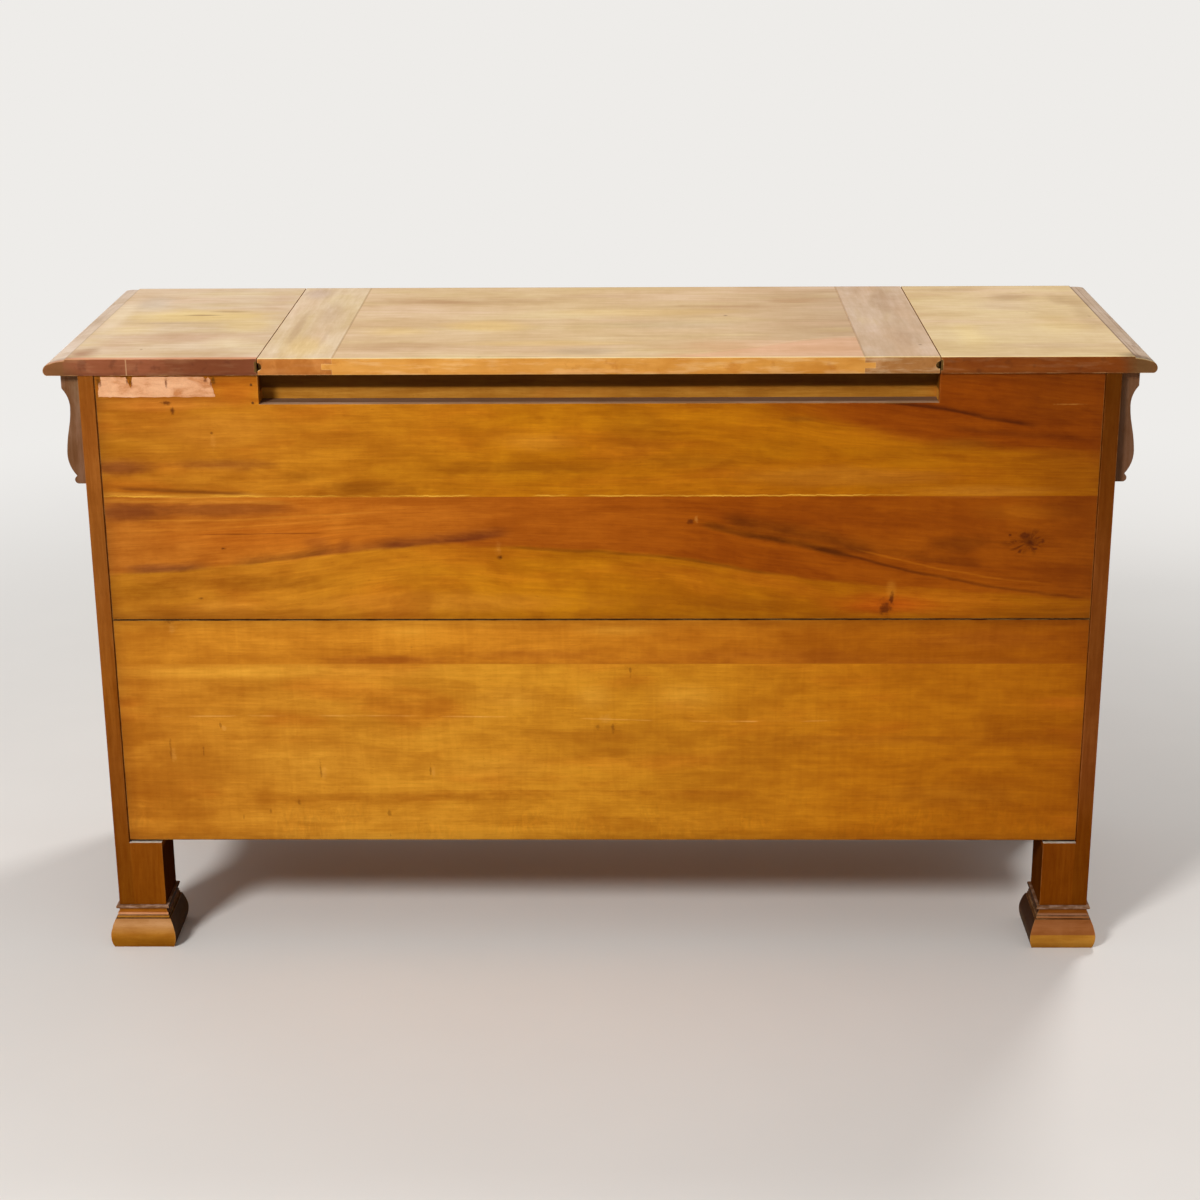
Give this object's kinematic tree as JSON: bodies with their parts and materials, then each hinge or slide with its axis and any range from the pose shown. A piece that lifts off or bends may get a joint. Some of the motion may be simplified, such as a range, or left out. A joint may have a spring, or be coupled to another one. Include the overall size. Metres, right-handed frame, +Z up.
{
  "type": "dressing chest",
  "caption": "Post-framed wooden dressing chest: long drawers below small frieze drawers, lift-up lid over a well with a mirror, moulded top, block feet, plain panelled back.",
  "frame": {"origin": "on the floor, at the middle of the whole object's box", "axes": "+X to the right seen from the drawer side, -Y towards the drawer fronts, +Y out of the panelled back, +Z up"},
  "size_m": [1.364, 0.492, 0.796],
  "materials": {
    "back_wood": "amber varnished satin walnut with soft sheen",
    "top_wood": "worn, bleached satin walnut with a dull wax sheen",
    "post_wood": "darker varnished satin walnut",
    "inner_wood": "plain unpolished inner boards",
    "drawer_front_wood": "polished satin walnut",
    "drawer_lining_wood": "dry unpolished drawer linings",
    "knob_wood": "polished turned wood",
    "brass": "dull aged brass",
    "mirror": "silvered glass"
  },
  "bodies": {
    "case": {"back_panel_lower": "back_wood", "back_panel_upper": "back_wood", "bottom_board": "inner_wood", "bottom_rail": "drawer_front_wood", "drawer_runners": "inner_wood", "frieze_panel": "drawer_front_wood", "frieze_rail": "drawer_front_wood", "front_corbels": "post_wood", "front_foot_left": "post_wood", "front_foot_right": "post_wood", "front_post_left": "post_wood", "front_post_right": "post_wood", "hinge_pins": "brass", "inner_back_rail": "inner_wood", "middle_rail": "drawer_front_wood", "rear_corbels": "post_wood", "rear_foot_left": "post_wood", "rear_foot_right": "post_wood", "rear_post_left": "post_wood", "rear_post_right": "post_wood", "recess_cheeks": "inner_wood", "recess_ledge": "inner_wood", "side_panel_left": "drawer_front_wood", "side_panel_right": "drawer_front_wood", "top_rail": "drawer_front_wood", "top_slab_left": "top_wood", "top_slab_right": "top_wood", "well_bottom": "inner_wood", "well_partition_left": "inner_wood", "well_partition_right": "inner_wood"},
    "lid": {"hinge_eyes": "brass", "lid_clamp_left": "top_wood", "lid_clamp_right": "top_wood", "lid_panel": "top_wood", "mirror_frame": "drawer_front_wood", "mirror_glass": "mirror"},
    "lower_drawer": {"lower_drawer_back": "drawer_lining_wood", "lower_drawer_bottom": "drawer_lining_wood", "lower_drawer_front": "drawer_front_wood", "lower_drawer_knobs": "knob_wood", "lower_drawer_side_left": "drawer_lining_wood", "lower_drawer_side_right": "drawer_lining_wood"},
    "upper_drawer": {"upper_drawer_back": "drawer_lining_wood", "upper_drawer_bottom": "drawer_lining_wood", "upper_drawer_front": "drawer_front_wood", "upper_drawer_knobs": "knob_wood", "upper_drawer_side_left": "drawer_lining_wood", "upper_drawer_side_right": "drawer_lining_wood"},
    "left_frieze_drawer": {"left_frieze_drawer_back": "drawer_lining_wood", "left_frieze_drawer_bottom": "drawer_lining_wood", "left_frieze_drawer_front": "drawer_front_wood", "left_frieze_drawer_knobs": "knob_wood", "left_frieze_drawer_sides": "drawer_lining_wood"},
    "right_frieze_drawer": {"right_frieze_drawer_back": "drawer_lining_wood", "right_frieze_drawer_bottom": "drawer_lining_wood", "right_frieze_drawer_front": "drawer_front_wood", "right_frieze_drawer_knobs": "knob_wood", "right_frieze_drawer_sides": "drawer_lining_wood"}
  },
  "joints": [
    {"name": "lid_hinge", "type": "hinge", "parent": "case", "child": "lid", "pos_m": [0, 0.2155, 0.78595], "axis": [-1, 0, 0], "range_deg": [0, 105]},
    {"name": "lower_drawer_slide", "type": "slide", "parent": "case", "child": "lower_drawer", "axis": [0, -1, 0], "range_m": [0, 0.3]},
    {"name": "upper_drawer_slide", "type": "slide", "parent": "case", "child": "upper_drawer", "axis": [0, -1, 0], "range_m": [0, 0.3]},
    {"name": "left_frieze_drawer_slide", "type": "slide", "parent": "case", "child": "left_frieze_drawer", "axis": [0, -1, 0], "range_m": [0, 0.26]},
    {"name": "right_frieze_drawer_slide", "type": "slide", "parent": "case", "child": "right_frieze_drawer", "axis": [0, -1, 0], "range_m": [0, 0.26]}
  ]
}
